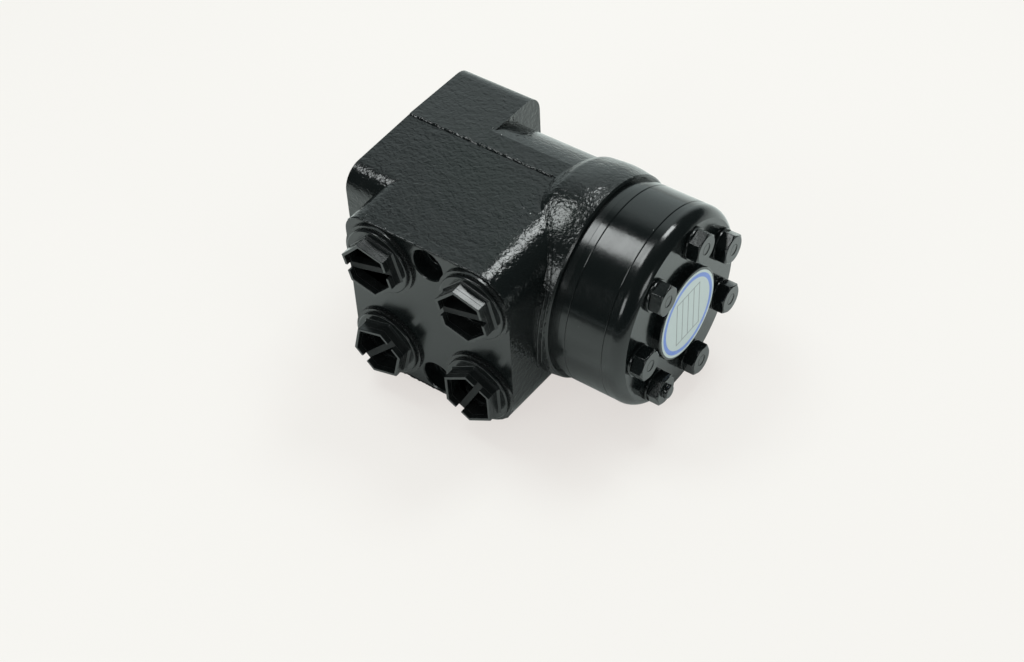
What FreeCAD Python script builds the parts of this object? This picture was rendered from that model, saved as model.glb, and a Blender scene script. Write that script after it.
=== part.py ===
import FreeCAD, Part
import math
import os
from FreeCAD import Vector

# Orbital steering unit, in millimetres.
# The origin is the centre of the column face, on the axis of the spool.
# +X points out of the column face, +Y out of the port face, and +Z out of the flat side
# that carries the parting line. The gear set lies at -X.

# Lengths along the axis, each counted back from the column face
FLANGE_DEPTH = 38.3
BLOCK_FRONT = 13.9
BLOCK_REAR = 100.0
FLAT_END = 77.0
RAMP_END = 84.0
REAR_FLANGE_CROWN = 95.0
REAR_FLANGE_END = 105.5
HOUSING_END = 109.7
PLATE_THICKNESS = 3.6
RIM_WIDTH = 18.4
COVER_THICKNESS = 9.7
BOSS_HEIGHT = 3.6

# Housing section
HALF_HEIGHT = 44.2
DRAFT = 0.025
PARTING_STEP = 0.3
FLANGE_NEAR = 46.0
FLANGE_FAR = 44.3
FLANGE_CORNER = 10.0
PORT_FACE = 64.3
BLOCK_FRONT_ROUND = 10.0
BLOCK_REAR_ROUND = 16.2
BLOCK_SPREAD = 0.8
BARREL_UNDER_RIM = 0.4
RAMP_SINK = 1.2
RAMP_RISE = 2.3
RAMP_ROUND = 6.0
CROWN_RISE = 1.25
CROWN_ROUND = 40.0
REAR_FLANGE_OVER_RIM = 1.6
REAR_FLANGE_BEVEL = 0.8
SPIGOT_UNDER_RIM = 0.8

# Column face
COLUMN_PCD = 82.5
COLUMN_HOLES = 4
COLUMN_HOLE_R = 5.0
COLUMN_HOLE_DEPTH = 18.0

# Ports, their plugs and the two clamp holes in the port face
PORT_X_FRONT = 32.75
PORT_X_REAR = 82.03
PORT_Z = 24.5
PORT_R = 10.48
PORT_DEPTH = 17.0
CLAMP_X = 58.2
CLAMP_Z = 33.6
CLAMP_HOLE_R = 5.0
CLAMP_HOLE_DEPTH = 16.0
COUNTERBORE_R = 7.7
COUNTERBORE_DEPTH = 6.5
COUNTERBORE_CHAMFER = 0.5
PLUG_HEX_CORNER_R = 13.58
PLUG_WALL = 1.35
PLUG_FLANGE_R = 16.0
PLUG_FLANGE_THICKNESS = 1.6
PLUG_RIM_HEIGHT = 9.7
PLUG_SHANK_DEPTH = 12.0
PLUG_SHANK_CLEARANCE = 0.2
PLUG_FLOOR = 1.6
PLUG_FLANGE_BEVEL = 0.35
PLUG_FOOT = 0.9
PLUG_SLOT = 3.0
PLUG_SLOT_DEPTH = 2.6
SEAL_R = 17.6
SEAL_THICKNESS = 1.5
PLUG_SLOT_ANGLES = {
    "front_upper": 163.8,
    "rear_upper": 165.4,
    "front_lower": 134.2,
    "rear_lower": 119.0,
}

# Main bore, and the drillings that join the gear set's plate to it
BORE_R = 19.0
METER_DRILL_R = 2.6
METER_DRILL_CIRCLE = 29.0
METER_DRILL_REACH = 20.0

# Spool, sleeve, cross pin and centring springs
RUNNING_CLEARANCE = 0.03
SPOOL_R = 12.9
SPOOL_START = 1.0
SOCKET_DEPTH = 20.0
SPOOL_BORE_R = 9.5
SPOOL_BORE_START = 70.0
SLEEVE_START = 23.4
ROTATING_END_GAP = 0.15
PIN_X = 84.0
PIN_R = 4.0
PIN_END_GAP = 0.4
SPOOL_PIN_PLAY = 2.0
SPOOL_TEETH = 12
SPOOL_SPLINE_SMALL_R = 8.7
SPOOL_SPLINE_LARGE_R = 10.3
SPRING_X = 30.0
SPRING_WIDTH = 6.0
SPRING_THICKNESS = 0.55
SPRING_ARCH = 1.2
SPRING_HALF_LENGTH = 17.8
SPRING_GAP = 0.03
SPRING_SLOT_GAP = 0.08
SPRING_RING_THICKNESS = 0.8
SPRING_RING_WIDTH = 7.4
SPRING_RING_CLEARANCE = 0.1
OIL_HOLE_XS = (38.0, 50.0, 62.0, 74.0)
OIL_HOLE_R = 1.6
OIL_HOLES = 6

# Thrust bearing, seals at the column face
BEARING_START = 15.0
RACE_THICKNESS = 2.4
NEEDLE_R = 1.4
NEEDLE_LENGTH = 4.2
NEEDLES = 12
CAGE_THICKNESS = 2.0
BEARING_INNER_R = 13.3
BEARING_OUTER_R = 18.8
BEARING_GAP = 0.05
FRONT_WALL_R = 13.2
DUST_POCKET_R = 18.0
DUST_POCKET_DEPTH = 5.2
DUST_SEAL_RECESS = 0.4
SEAL_LIP_CLEARANCE = 0.05
SEAL_GROOVE_START = 8.6
SEAL_GROOVE_WIDTH = 3.2
SEAL_GROOVE_R = 16.9
SEAL_RING_WALL = 1.5
O_RING_GAP = 0.02

# Gear set
GEAR_R = 46.0
JOINT_BEVEL = 0.3
TEETH = 7
TOOTH_CIRCLE = 35.8
TOOTH_R = 9.0
TOOTH_CLEARANCE = 0.08
ECCENTRICITY = 3.0
VALLEY_CLEARANCE = 0.12
SIDE_CLEARANCE = 0.03
ROTOR_POINTS_PER_LOBE = 24
SHAFT_TEETH = 12
ROTOR_SPLINE_SMALL_R = 8.6
ROTOR_SPLINE_LARGE_R = 10.2
SHAFT_SPLINE_SMALL_R = 7.9
SHAFT_SPLINE_LARGE_R = 9.6
SHAFT_HEAD_WIDTH = 8.0
SHAFT_R = 6.0
FORK_R = 8.2
FORK_REACH = 7.5
FORK_LENGTH = 22.0
FORK_SLOT_CLEARANCE = 0.35
SPACER_R = 8.2
SPACER_THICKNESS = 2.4
SPACER_GAP = 0.1
PLATE_HOLE_R = 9.9

# O-rings between the gear set's faces
FACE_RING_CIRCLE = 41.6
FACE_RING_R = 1.0
FACE_RING_SIDE_GAP = 0.15

# End cover, screws and washers
SCREW_CIRCLE = 34.11
SCREW_R = 3.9
SCREW_THREAD_R = 4.0
SCREW_HOLE_R = 4.3
SCREW_GRIP = 14.0
SCREW_HOLE_EXTRA = 2.0
HEAD_FLATS = 13.0
HEAD_HEIGHT = 5.5
HEAD_DIMPLE_R = 2.6
HEAD_DIMPLE_DEPTH = 0.25
WASHER_R = 7.4
WASHER_THICKNESS = 1.6
SPECIAL_SCREW = 6
NUB_R = 3.3
NUB_HEIGHT = 2.0
NUB_ROUND = 0.8
COVER_FACE_R = 42.3
COVER_SIDE = 2.6
COVER_ROUND_X = 2.1
COVER_ROUND_R = 1.3
BOSS_R = 21.6
BOSS_ROUND = 0.6
LABEL_R = 20.4
LABEL_THICKNESS = 0.2

# Check valve under the special screw
BALL_R = 4.25
BALL_CLEARANCE = 0.2
BALL_SEAT_GAP = 0.02
BALL_SEAT_HALF_ANGLE = 45.0
BALL_LIFT = 1.8
BALL_STOP_GAP = 0.1
BUSHING_R = 6.0
BUSHING_LENGTH = 12.0
BUSHING_SINK = 0.5
STOP_PIN_R = 1.6
SCREW_IN_BUSHING = 7.0
CHECK_SEAT_R = 3.0
CHECK_DRILL_DEPTH = 9.0

# Radii of the housing, tied to the gear rim that it carries
BARREL_R = GEAR_R - BARREL_UNDER_RIM
RAMP_R = BARREL_R + RAMP_RISE
REAR_FLANGE_R = GEAR_R + REAR_FLANGE_OVER_RIM
CROWN_R = REAR_FLANGE_R + CROWN_RISE
SPIGOT_R = GEAR_R - SPIGOT_UNDER_RIM

# Planes of the stack, as x values
PLATE_START = -HOUSING_END
RIM_START = PLATE_START - PLATE_THICKNESS
COVER_START = RIM_START - RIM_WIDTH
COVER_FACE = COVER_START - COVER_THICKNESS
BOSS_FACE = COVER_FACE - BOSS_HEIGHT
HEAD_UNDERSIDE = COVER_FACE - WASHER_THICKNESS
ROTATING_END = -HOUSING_END + ROTATING_END_GAP
ROTOR_MIDDLE = RIM_START - RIM_WIDTH / 2
SLEEVE_R = BORE_R - RUNNING_CLEARANCE
SLEEVE_BORE_R = SPOOL_R + RUNNING_CLEARANCE
SHAFT_TILT = math.degrees(math.atan2(ECCENTRICITY, -PIN_X - ROTOR_MIDDLE))

AXIS = Vector(1, 0, 0)
CENTRE = Vector(0, 0, 0)


def cylinder_x(x_low, x_high, radius, y=0.0, z=0.0):
    """Solid cylinder along X."""
    return Part.makeCylinder(radius, x_high - x_low, Vector(x_low, y, z), AXIS)


def tube_x(x_low, x_high, outer, inner, y=0.0, z=0.0):
    """Ring or tube along X."""
    solid = cylinder_x(x_low, x_high, outer, y, z)
    return solid.cut(cylinder_x(x_low - 1, x_high + 1, inner, y, z))


def cylinder_y(y_low, y_high, radius, x=0.0, z=0.0):
    """Solid cylinder along Y."""
    return Part.makeCylinder(radius, y_high - y_low, Vector(x, y_low, z), Vector(0, 1, 0))


def box(x_range, y_range, z_range):
    """Solid box between three pairs of limits."""
    size = [high - low for low, high in (x_range, y_range, z_range)]
    return Part.makeBox(*size, Vector(x_range[0], y_range[0], z_range[0]))


def around(count, first=0.0):
    """Angles in degrees of a ring of equal copies."""
    return [first + 360.0 * k / count for k in range(count)]


def on_circle(radius, angle):
    """y and z of a point on a circle about the axis."""
    return radius * math.cos(math.radians(angle)), radius * math.sin(math.radians(angle))


def turned(shape, angle, direction=AXIS, centre=CENTRE):
    """Copy of a shape, turned by an angle in degrees."""
    copy = shape.copy()
    copy.rotate(centre, direction, angle)
    return copy


def rounded_wire(corners, place):
    """Closed wire through corners (u, v, radius), each rounded by its own radius."""
    stations = []
    for index, (u, v, radius) in enumerate(corners):
        here = Vector(u, v, 0)
        if radius == 0:
            stations.append((here, None, here))
            continue
        before = Vector(*corners[index - 1][:2], 0)
        after = Vector(*corners[(index + 1) % len(corners)][:2], 0)
        to_before = (before - here).normalize()
        to_after = (after - here).normalize()
        half = to_before.getAngle(to_after) / 2
        setback = radius / math.tan(half)
        inward = (to_before + to_after).normalize()
        middle = here + inward * (radius / math.sin(half) - radius)
        stations.append((here + to_before * setback, middle, here + to_after * setback))
    edges = []
    for index, (start, middle, end) in enumerate(stations):
        if middle is not None:
            edges.append(Part.Arc(place(start), place(middle), place(end)).toShape())
        following = stations[(index + 1) % len(stations)][0]
        if end.distanceToPoint(following) > 1e-6:
            edges.append(Part.makeLine(place(end), place(following)))
    return Part.Wire(edges)


def lathe(corners):
    """Solid turned about X from corners (x, r, rounding)."""
    face = Part.Face(rounded_wire(corners, lambda p: Vector(p.x, p.y, 0)))
    return face.revolve(CENTRE, AXIS, 360)


def bevelled_disc(x_low, x_high, radius):
    """Disc about X with the small bevels that show as lines where discs are stacked."""
    inset = radius - JOINT_BEVEL
    return lathe(
        [
            (x_low, 0, 0),
            (x_low, inset, 0),
            (x_low + JOINT_BEVEL, radius, 0),
            (x_high - JOINT_BEVEL, radius, 0),
            (x_high, inset, 0),
            (x_high, 0, 0),
        ]
    )


def torus_x(x, circle, section):
    """O-ring about X."""
    return Part.makeTorus(circle, section, Vector(x, 0, 0), AXIS)


def spline_prism(x_low, x_high, teeth, small, large, share):
    """Toothed prism about X: teeth reach the large radius over the given share of a pitch."""
    pitch = 360.0 / teeth
    quarter = pitch * share / 2
    edges = []

    def at(radius, angle):
        return Vector(x_low, *on_circle(radius, angle))

    for middle in around(teeth):
        tip_half = quarter * small / large
        root_half = pitch / 2 - quarter
        tip_start, tip_end = at(large, middle - tip_half), at(large, middle + tip_half)
        root_start, root_end = at(small, middle + quarter), at(small, middle + quarter + 2 * root_half)
        edges.append(Part.Arc(tip_start, at(large, middle), tip_end).toShape())
        edges.append(Part.makeLine(tip_end, root_start))
        edges.append(Part.Arc(root_start, at(small, middle + pitch / 2), root_end).toShape())
        following = at(large, middle + pitch - tip_half)
        edges.append(Part.makeLine(root_end, following))
    face = Part.Face(Part.Wire(edges))
    return face.extrude(Vector(x_high - x_low, 0, 0))


def hexagon(corner_r, start, direction, turn=0.0):
    """Hexagonal wire round start, square to the X or Y direction given."""
    corners = []
    for angle in around(6, turn):
        across, up = on_circle(corner_r, angle)
        if abs(direction.y) > 0.5:
            corners.append(start + Vector(across, 0, up))
        else:
            corners.append(start + Vector(0, across, up))
    return Part.makePolygon(corners + corners[:1])


def hexagon_prism(corner_r, start, direction, length, turn=0.0):
    """Hexagonal prism along X or Y, from start along direction."""
    return Part.Face(hexagon(corner_r, start, direction, turn)).extrude(direction * length)


def rounded(shape, radius, chosen):
    """Solid with its chosen edges rounded."""
    edges = [edge for edge in shape.Edges if chosen(edge)]
    return shape.makeFillet(radius, edges).Solids[0]


# Housing


def half_height(y):
    """Half height of the cast body at a distance y from the parting plane."""
    return HALF_HEIGHT - DRAFT * abs(y)


def column_flange():
    """Square mounting flange with drafted flats and a small step along the parting line."""
    step = HALF_HEIGHT + PARTING_STEP
    far = half_height(FLANGE_FAR) + PARTING_STEP
    near = half_height(FLANGE_NEAR)
    corners = [
        (-FLANGE_FAR, far, FLANGE_CORNER),
        (0, step, 0),
        (0, HALF_HEIGHT, 0),
        (FLANGE_NEAR, near, FLANGE_CORNER),
        (FLANGE_NEAR, -near, FLANGE_CORNER),
        (0, -HALF_HEIGHT, 0),
        (0, -step, 0),
        (-FLANGE_FAR, -far, FLANGE_CORNER),
    ]
    wire = rounded_wire(corners, lambda p: Vector(-FLANGE_DEPTH, p.x, p.y))
    return Part.Face(wire).extrude(Vector(FLANGE_DEPTH, 0, 0))


def port_block():
    """Block that carries the ports, with drafted flats and rounded edges along Y."""
    high = half_height(PORT_FACE)
    block = Part.makeWedge(
        -BLOCK_REAR,
        0,
        -HALF_HEIGHT,
        -high,
        -BLOCK_REAR + BLOCK_SPREAD,
        -BLOCK_FRONT,
        PORT_FACE,
        HALF_HEIGHT,
        high,
        -BLOCK_FRONT - BLOCK_SPREAD,
    )
    middle = -(BLOCK_FRONT + BLOCK_REAR) / 2
    for radius, side in ((BLOCK_REAR_ROUND, -1), (BLOCK_FRONT_ROUND, 1)):
        block = rounded(
            block,
            radius,
            lambda edge, side=side: edge.BoundBox.YLength > PORT_FACE / 2
            and side * (edge.CenterOfMass.x - middle) > 0,
        )
    return block


def barrel():
    """Round body behind the flange, cut flat above and below."""
    height = HALF_HEIGHT + PARTING_STEP
    front = -FLANGE_DEPTH + 1
    round_body = cylinder_x(-RAMP_END, front, BARREL_R)
    return round_body.common(box((-RAMP_END, front), (-BARREL_R, 0), (-height, height)))


def rear_flange():
    """Crowned round flange behind a short ramp, with the spigot that carries the plate."""
    return lathe(
        [
            (-FLAT_END + RAMP_SINK, 0, 0),
            (-FLAT_END + RAMP_SINK, HALF_HEIGHT - RAMP_SINK, 0),
            (-RAMP_END, RAMP_R, RAMP_ROUND),
            (-REAR_FLANGE_CROWN, CROWN_R, CROWN_ROUND),
            (-REAR_FLANGE_END + REAR_FLANGE_BEVEL, REAR_FLANGE_R, 0),
            (-REAR_FLANGE_END, REAR_FLANGE_R - REAR_FLANGE_BEVEL, 0),
            (-REAR_FLANGE_END, SPIGOT_R, 0),
            (-HOUSING_END, SPIGOT_R, 0),
            (-HOUSING_END, 0, 0),
        ]
    )


def main_bore():
    """Bore for the sleeve, with the bearing seat and the seal pockets."""
    return [
        cylinder_x(-HOUSING_END - 1, -BEARING_START, BORE_R),
        cylinder_x(-BEARING_START, 1, FRONT_WALL_R),
        cylinder_x(-DUST_POCKET_DEPTH, 1, DUST_POCKET_R),
        cylinder_x(-SEAL_GROOVE_START - SEAL_GROOVE_WIDTH, -SEAL_GROOVE_START, SEAL_GROOVE_R),
    ]


def column_holes():
    """Tapped holes of the column face."""
    cuts = []
    for angle in around(COLUMN_HOLES, 45):
        y, z = on_circle(COLUMN_PCD / 2, angle)
        cuts.append(cylinder_x(-COLUMN_HOLE_DEPTH, 1, COLUMN_HOLE_R, y, z))
    return cuts


def port_places():
    """Name, x and z of each port."""
    return [
        ("front_upper", -PORT_X_FRONT, PORT_Z),
        ("rear_upper", -PORT_X_REAR, PORT_Z),
        ("front_lower", -PORT_X_FRONT, -PORT_Z),
        ("rear_lower", -PORT_X_REAR, -PORT_Z),
    ]


def port_holes():
    """Threaded ports; the cast passages behind them are left out."""
    floor = PORT_FACE - PORT_DEPTH
    return [cylinder_y(floor, PORT_FACE + 1, PORT_R, x, z) for _, x, z in port_places()]


def clamp_holes():
    """Counterbored and tapped holes between the ports."""
    cuts = []
    counterbore_floor = PORT_FACE - COUNTERBORE_DEPTH
    for z in (-CLAMP_Z, CLAMP_Z):
        x = -CLAMP_X
        cuts.append(cylinder_y(counterbore_floor, PORT_FACE + 1, COUNTERBORE_R, x, z))
        cuts.append(cylinder_y(counterbore_floor - CLAMP_HOLE_DEPTH, PORT_FACE, CLAMP_HOLE_R, x, z))
        mouth = Part.makeCone(
            COUNTERBORE_R,
            COUNTERBORE_R + 2 * COUNTERBORE_CHAMFER,
            2 * COUNTERBORE_CHAMFER,
            Vector(x, PORT_FACE - COUNTERBORE_CHAMFER, z),
            Vector(0, 1, 0),
        )
        cuts.append(mouth)
    return cuts


def screw_angles():
    """Angles of the cover screws, which are those of the gear rim's teeth."""
    return around(TEETH)


def special_angle():
    """Angle of the special screw over the check valve."""
    return screw_angles()[SPECIAL_SCREW]


def rear_face_holes():
    """Tapped holes for the cover screws, meter drillings and the check valve's bore."""
    cuts = []
    for index, angle in enumerate(screw_angles()):
        if index == SPECIAL_SCREW:
            continue
        y, z = on_circle(SCREW_CIRCLE, angle)
        inner_end = -HOUSING_END + SCREW_GRIP + SCREW_HOLE_EXTRA
        cuts.append(cylinder_x(-HOUSING_END - 1, inner_end, SCREW_THREAD_R, y, z))
    for angle in around(TEETH, 180.0 / TEETH):
        start = Vector(-HOUSING_END - 1, *on_circle(METER_DRILL_CIRCLE, angle))
        goal = Vector(-HOUSING_END + METER_DRILL_REACH, *on_circle(BORE_R - 2, angle))
        route = goal - start
        cuts.append(Part.makeCylinder(METER_DRILL_R, route.Length, start, route))
    y, z = on_circle(SCREW_CIRCLE, special_angle())
    cuts.append(cylinder_x(-HOUSING_END - 1, bushing_inner_end(), BUSHING_R, y, z))
    bore_r = BALL_R + BALL_CLEARANCE
    seat_half_angle = math.radians(BALL_SEAT_HALF_ANGLE)
    apex = ball_centre_x() + (BALL_R + BALL_SEAT_GAP) / math.sin(seat_half_angle)
    seat_depth = bore_r / math.tan(seat_half_angle)
    bore_end = apex - seat_depth
    cuts.append(cylinder_x(bushing_inner_end() - 1, bore_end, bore_r, y, z))
    cuts.append(Part.makeCone(bore_r, 0, seat_depth, Vector(bore_end, y, z), AXIS))
    cuts.append(cylinder_x(bore_end, bore_end + CHECK_DRILL_DEPTH, CHECK_SEAT_R, y, z))
    return cuts


def bushing_inner_end():
    """x of the threaded bushing's inner end."""
    return -HOUSING_END + BUSHING_SINK + BUSHING_LENGTH


def ball_centre_x():
    """x of the ball's centre when it lies on its seat."""
    return bushing_inner_end() + BALL_LIFT + BALL_R


def face_groove(x):
    """Groove for an O-ring in the face at plane x, whose material lies at -X."""
    inner = FACE_RING_CIRCLE - FACE_RING_R - FACE_RING_SIDE_GAP
    outer = FACE_RING_CIRCLE + FACE_RING_R + FACE_RING_SIDE_GAP
    depth = 2 * (FACE_RING_R + O_RING_GAP)
    return tube_x(x - depth, x, outer, inner)


def housing():
    """Cast housing with everything that is bored and drilled into it."""
    body = column_flange().fuse([port_block(), barrel(), rear_flange()])
    cuts = main_bore() + column_holes() + port_holes() + clamp_holes() + rear_face_holes()
    return body.cut(cuts).removeSplitter()


# Ports


def plug(x, z, slot_angle):
    """Screw-in transport plug: hexagonal cup on a flange, with a slotted rim and one web."""
    seat = PORT_FACE + SEAL_THICKNESS
    flange_top = seat + PLUG_FLANGE_THICKNESS
    rim = PORT_FACE + PLUG_RIM_HEIGHT
    bottom = PORT_FACE - PLUG_SHANK_DEPTH
    slot_floor = rim - PLUG_SLOT_DEPTH
    shank_r = PORT_R - PLUG_SHANK_CLEARANCE
    up = Vector(0, 1, 0)
    turn = slot_angle + 30
    inner_corner_r = PLUG_HEX_CORNER_R - PLUG_WALL / math.cos(math.radians(30))
    flange = cylinder_y(seat, flange_top - PLUG_FLANGE_BEVEL, PLUG_FLANGE_R, x, z)
    flange_edge = Part.makeCone(
        PLUG_FLANGE_R,
        PLUG_FLANGE_R - PLUG_FLANGE_BEVEL,
        PLUG_FLANGE_BEVEL,
        Vector(x, flange_top - PLUG_FLANGE_BEVEL, z),
        up,
    )
    foot = Part.makeLoft(
        [
            hexagon(PLUG_HEX_CORNER_R + PLUG_FOOT, Vector(x, flange_top, z), up, turn),
            hexagon(PLUG_HEX_CORNER_R, Vector(x, flange_top + PLUG_FOOT, z), up, turn),
        ],
        True,
        True,
    )
    shank = cylinder_y(bottom, seat, shank_r, x, z)
    head = hexagon_prism(PLUG_HEX_CORNER_R, Vector(x, seat, z), up, rim - seat, turn)
    cup = hexagon_prism(inner_corner_r, Vector(x, seat, z), up, rim - seat + 1, turn)
    well = cylinder_y(bottom + PLUG_FLOOR, seat + 1, shank_r - PLUG_WALL, x, z)
    body = shank.fuse([flange, flange_edge, foot, head]).cut([cup, well])
    across = PLUG_HEX_CORNER_R + 1
    half_slot = (-PLUG_SLOT / 2, PLUG_SLOT / 2)
    web = turned(box((-across, across), (bottom, slot_floor), half_slot), -slot_angle, up)
    notch = turned(box((-across, across), (slot_floor, rim + 1), half_slot), -slot_angle, up)
    for piece in (web, notch):
        piece.translate(Vector(x, 0, z))
    return body.fuse(web.common(cup.fuse(well))).cut(notch)


def plug_seals():
    """Flat seal rings under the plugs' flanges."""
    rings = []
    for _, x, z in port_places():
        ring = cylinder_y(PORT_FACE, PORT_FACE + SEAL_THICKNESS, SEAL_R, x, z)
        rings.append(ring.cut(cylinder_y(PORT_FACE - 1, PORT_FACE + SEAL_THICKNESS + 1, PORT_R, x, z)))
    return Part.makeCompound(rings)


# Spool set


def spool():
    """Inner valve with the column's spline socket at the front and the shaft's bore behind."""
    body = cylinder_x(ROTATING_END, -SPOOL_START, SPOOL_R)
    socket = spline_prism(
        -SPOOL_START - SOCKET_DEPTH,
        0,
        SPOOL_TEETH,
        SPOOL_SPLINE_SMALL_R,
        SPOOL_SPLINE_LARGE_R,
        0.5,
    )
    shaft_bore = cylinder_x(ROTATING_END - 1, -SPOOL_BORE_START, SPOOL_BORE_R)
    pin_hole = Part.makeCylinder(
        PIN_R + SPOOL_PIN_PLAY, 4 * SPOOL_R, Vector(-PIN_X, 0, -2 * SPOOL_R), Vector(0, 0, 1)
    )
    return body.cut([socket, shaft_bore, pin_hole, spring_slot(2 * SPOOL_R)])


def spring_slot(reach):
    """Slot across the valve for the spring pack."""
    half_width = SPRING_WIDTH / 2 + SPRING_SLOT_GAP
    half_pack = spring_pack_height() + SPRING_SLOT_GAP
    middle = -SPRING_X
    return box((middle - half_width, middle + half_width), (-reach, reach), (-half_pack, half_pack))


def spring_pack_height():
    """Half height of the spring pack at its ends."""
    return SPRING_GAP + 3 * (SPRING_THICKNESS + SPRING_GAP) + SPRING_ARCH


def sleeve():
    """Outer valve with its oil holes, the pin's holes and the springs' slot."""
    body = tube_x(ROTATING_END, -SLEEVE_START, SLEEVE_R, SLEEVE_BORE_R)
    pin_hole = Part.makeCylinder(PIN_R, 4 * BORE_R, Vector(-PIN_X, 0, -2 * BORE_R), Vector(0, 0, 1))
    ring_inner = SLEEVE_R - SPRING_RING_THICKNESS
    half_ring = SPRING_RING_WIDTH / 2 + SPRING_RING_CLEARANCE
    ring_seat = tube_x(-SPRING_X - half_ring, -SPRING_X + half_ring, BORE_R + 1, ring_inner)
    cuts = [pin_hole, ring_seat, spring_slot(2 * BORE_R)]
    for row, x in enumerate(OIL_HOLE_XS):
        for angle in around(OIL_HOLES, 15.0 * row + 15.0):
            inner = Vector(-x, *on_circle(SLEEVE_BORE_R - 1, angle))
            outward = Vector(0, *on_circle(1, angle))
            cuts.append(Part.makeCylinder(OIL_HOLE_R, BORE_R, inner, outward))
    return body.cut(cuts)


def cross_pin():
    """Pin that joins sleeve and cardan shaft and limits the spool's deflection."""
    half = SLEEVE_R - PIN_END_GAP
    return Part.makeCylinder(PIN_R, 2 * half, Vector(-PIN_X, 0, -half), Vector(0, 0, 1))


def spring_ring():
    """Ring that keeps the springs in the sleeve."""
    half = SPRING_RING_WIDTH / 2
    inner = SLEEVE_R - SPRING_RING_THICKNESS
    return tube_x(-SPRING_X - half, -SPRING_X + half, SLEEVE_R, inner)


def flat_springs():
    """Two flat leaf springs, back to back."""
    x_range = (-SPRING_X - SPRING_WIDTH / 2, -SPRING_X + SPRING_WIDTH / 2)
    y_range = (-SPRING_HALF_LENGTH, SPRING_HALF_LENGTH)
    low = SPRING_GAP / 2
    leaves = [
        box(x_range, y_range, (low, low + SPRING_THICKNESS)),
        box(x_range, y_range, (-low - SPRING_THICKNESS, -low)),
    ]
    return Part.makeCompound(leaves)


def arched_leaf(bottom):
    """One arched leaf, whose middle lies at height bottom and whose ends stand higher."""

    def arc(height):
        ends = height + SPRING_ARCH
        x = -SPRING_X - SPRING_WIDTH / 2
        start = Vector(x, -SPRING_HALF_LENGTH, ends)
        end = Vector(x, SPRING_HALF_LENGTH, ends)
        return Part.Arc(start, Vector(x, 0, height), end).toShape(), start, end

    lower, lower_start, lower_end = arc(bottom)
    upper, upper_start, upper_end = arc(bottom + SPRING_THICKNESS)
    sides = [Part.makeLine(lower_end, upper_end), Part.makeLine(upper_start, lower_start)]
    face = Part.Face(Part.Wire(Part.__sortEdges__([lower, upper] + sides)))
    return face.extrude(Vector(SPRING_WIDTH, 0, 0))


def arched_springs():
    """Four arched leaf springs, two nested on each side of the flat ones."""
    leaves = []
    for layer in (1, 2):
        leaf = arched_leaf(SPRING_GAP + layer * (SPRING_THICKNESS + SPRING_GAP))
        leaves.append(leaf)
        leaves.append(turned(leaf, 180))
    return Part.makeCompound(leaves)


# Thrust bearing and seals


def bearing_planes():
    """x of the faces between the outer race, the needles and the inner race."""
    outer_race_end = -BEARING_START - RACE_THICKNESS
    needle_middle = outer_race_end - BEARING_GAP - NEEDLE_R
    inner_race_start = needle_middle - NEEDLE_R - BEARING_GAP
    return outer_race_end, needle_middle, inner_race_start


def outer_race():
    """Race that rests in the housing."""
    return tube_x(bearing_planes()[0], -BEARING_START, BEARING_OUTER_R, BEARING_INNER_R)


def inner_race():
    """Race that turns with the sleeve."""
    start = bearing_planes()[2]
    return tube_x(-SLEEVE_START, start, BEARING_OUTER_R, BEARING_INNER_R)


def needle(angle, radius, clearance=0.0):
    """One radial needle, or the pocket for it."""
    middle = (BEARING_INNER_R + BEARING_OUTER_R) / 2
    length = NEEDLE_LENGTH + 2 * clearance
    start = Vector(bearing_planes()[1], *on_circle(middle - length / 2, angle))
    return Part.makeCylinder(radius, length, start, Vector(0, *on_circle(1, angle)))


def needles():
    """The bearing's needles."""
    return Part.makeCompound([needle(angle, NEEDLE_R) for angle in around(NEEDLES)])


def needle_cage():
    """Cage with a pocket for each needle."""
    middle = bearing_planes()[1]
    half = CAGE_THICKNESS / 2
    ring = tube_x(middle - half, middle + half, BEARING_OUTER_R, BEARING_INNER_R)
    return ring.cut([needle(angle, NEEDLE_R + BEARING_GAP, BEARING_GAP) for angle in around(NEEDLES)])


def dust_seal():
    """Dust seal with a lip on the spool."""
    inner_end = -DUST_POCKET_DEPTH
    outer_end = -DUST_SEAL_RECESS
    lip_r = SPOOL_R + SEAL_LIP_CLEARANCE
    corners = [
        (inner_end, DUST_POCKET_R, 0),
        (outer_end, DUST_POCKET_R, 0.3),
        (outer_end, DUST_POCKET_R - 2.2, 0.3),
        (outer_end - 1.4, DUST_POCKET_R - 2.6, 0.4),
        (outer_end - 1.4, lip_r + 1.2, 0.4),
        (outer_end, lip_r + 0.5, 0),
        (outer_end - 0.5, lip_r, 0),
        (outer_end - 2.2, lip_r, 0),
        (inner_end, lip_r + 1.0, 0),
    ]
    return lathe(corners)


def shaft_seal_ring():
    """Ring that seals on the spool."""
    low = -SEAL_GROOVE_START - SEAL_GROOVE_WIDTH
    inner = SPOOL_R + SEAL_LIP_CLEARANCE
    return tube_x(low, -SEAL_GROOVE_START, inner + SEAL_RING_WALL, inner)


def shaft_o_ring():
    """O-ring that presses the seal ring on the spool."""
    ring_outer = SPOOL_R + SEAL_LIP_CLEARANCE + SEAL_RING_WALL
    section = (SEAL_GROOVE_R - ring_outer) / 2
    middle = -SEAL_GROOVE_START - SEAL_GROOVE_WIDTH / 2
    return torus_x(middle, ring_outer + section, section - O_RING_GAP)


# Gear set


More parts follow.
